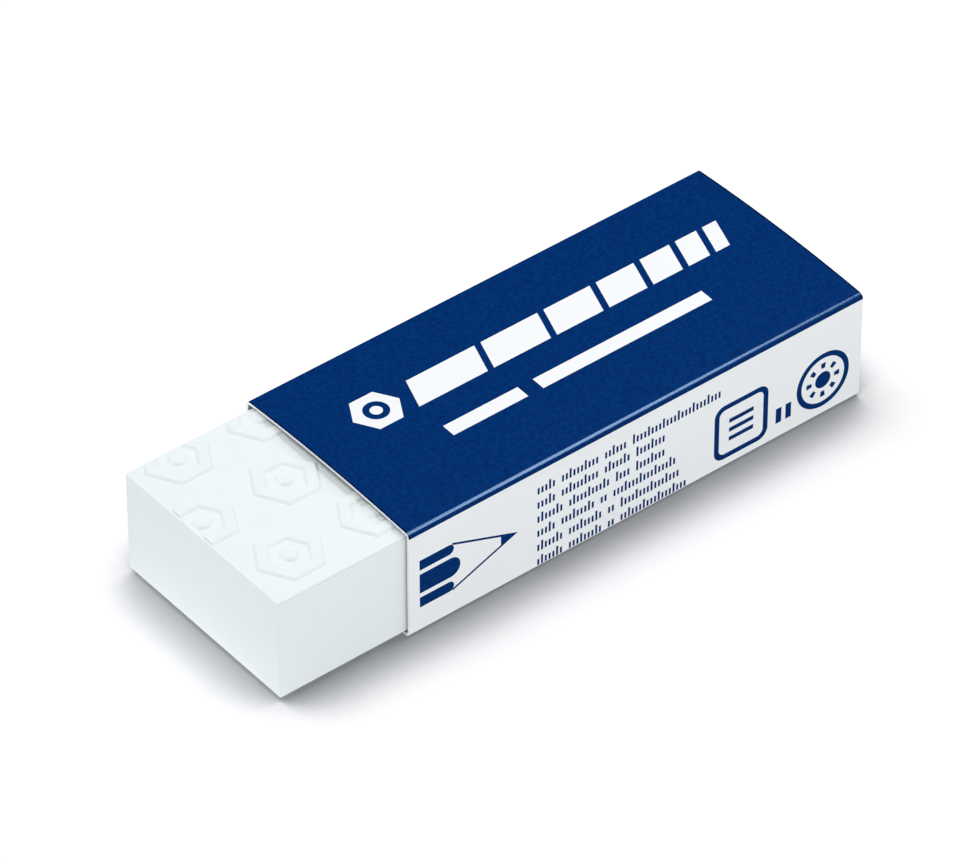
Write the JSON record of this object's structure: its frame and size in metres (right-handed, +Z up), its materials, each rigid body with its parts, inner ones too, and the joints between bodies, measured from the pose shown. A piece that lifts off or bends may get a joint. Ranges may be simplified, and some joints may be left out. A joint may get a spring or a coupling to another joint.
{
  "type": "block eraser in a card sleeve",
  "caption": "White block eraser in a navy and white folded card sleeve, one end bare, with raised hexagon motifs on its top.",
  "frame": {"origin": "middle of the whole object's footprint, on the surface that the sleeve lies on", "axes": "+X along the block from its bare end to its covered end, +Y across it towards the sleeve's glued side, +Z up"},
  "size_m": [0.0688, 0.0242, 0.013],
  "materials": {
    "white_vinyl": "matte",
    "printed_card": "satin"
  },
  "bodies": {
    "sleeve": {"card_sleeve": "printed_card"},
    "block": {"eraser_block": "white_vinyl"}
  },
  "joints": [
    {"name": "block_slide", "type": "slide", "parent": "sleeve", "child": "block", "axis": [-1, 0, 0], "range_m": [-0.0689, 0.0541]}
  ]
}
